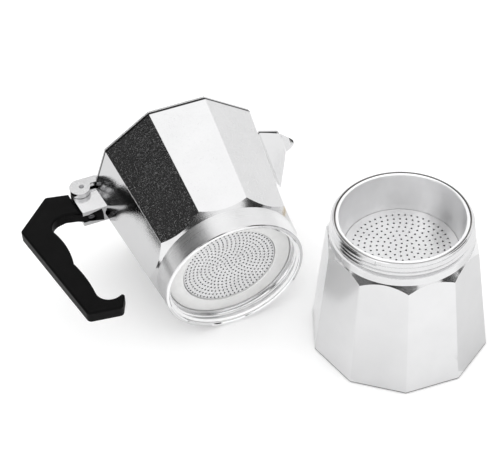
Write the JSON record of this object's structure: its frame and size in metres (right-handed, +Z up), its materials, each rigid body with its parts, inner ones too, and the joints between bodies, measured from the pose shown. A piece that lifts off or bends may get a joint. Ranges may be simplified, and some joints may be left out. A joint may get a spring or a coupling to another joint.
{
  "type": "moka pot",
  "caption": "Ten-sided aluminium stovetop coffee pot taken apart: upright boiler with its funnel, and a lidded collector lying beside it.",
  "frame": {"origin": "centre of the boiler's flat base, on the surface it stands on", "axes": "+Z up along the boiler's axis; +X from the lying collector's handle towards its spout; the lying collector's axis is in the Y-Z plane, mouth towards -Y"},
  "size_m": [0.242, 0.2113, 0.1064],
  "materials": {
    "cast_aluminium": "polished cast aluminium, machined on the turned faces",
    "pressed_aluminium": "satin, spun and pressed sheet",
    "black_plastic": "satin moulded phenolic plastic",
    "gasket_rubber": "matte food-grade rubber",
    "seal_rubber": "matte silicone",
    "brass": "turned brass",
    "steel": "zinc-plated or stainless steel"
  },
  "bodies": {
    "boiler": {"boiler": "cast_aluminium", "valve_body": "brass", "valve_washer": "seal_rubber", "valve_cap": "brass", "valve_spring": "steel"},
    "valve_piston": {"valve_piston": "steel", "valve_seal": "seal_rubber"},
    "funnel": {"funnel_cup": "pressed_aluminium", "funnel_stem": "pressed_aluminium", "funnel_plate": "pressed_aluminium"},
    "collector": {"collector": "cast_aluminium", "handle": "black_plastic", "handle_screw": "steel", "hinge_pin": "steel"},
    "filter_plate": {"filter_plate": "pressed_aluminium"},
    "gasket": {"gasket": "gasket_rubber"},
    "lid": {"lid": "cast_aluminium", "knob": "black_plastic", "knob_insert": "brass", "knob_washer": "steel", "knob_screw": "steel"}
  },
  "joints": [
    {"name": "valve_slide", "type": "slide", "parent": "boiler", "child": "valve_piston", "axis": [0.6388, 0.7694, 0], "range_m": [0, 0.0015], "stiffness_N_per_m": 1500, "springref_m": -0.001, "deforming": ["valve_spring"]},
    {"name": "funnel_lift", "type": "slide", "parent": "boiler", "child": "funnel", "axis": [0, 0, 1], "range_m": [0, 0.11]},
    {"name": "collector_lift", "type": "slide", "parent": "boiler", "child": "collector", "axis": [0, 0, 1], "range_m": [0, 0.15]},
    {"name": "lid_hinge", "type": "hinge", "parent": "collector", "child": "lid", "pos_m": [-0.148, 0.12827, 0.05319], "axis": [0, -0.1262, 0.992], "range_deg": [0, 110]},
    {"name": "plate_slide", "type": "slide", "parent": "collector", "child": "filter_plate", "axis": [0, -0.992, -0.1262], "range_m": [0, 0.03]},
    {"name": "gasket_slide", "type": "slide", "parent": "filter_plate", "child": "gasket", "axis": [0, -0.992, -0.1262], "range_m": [0, 0.03]}
  ]
}
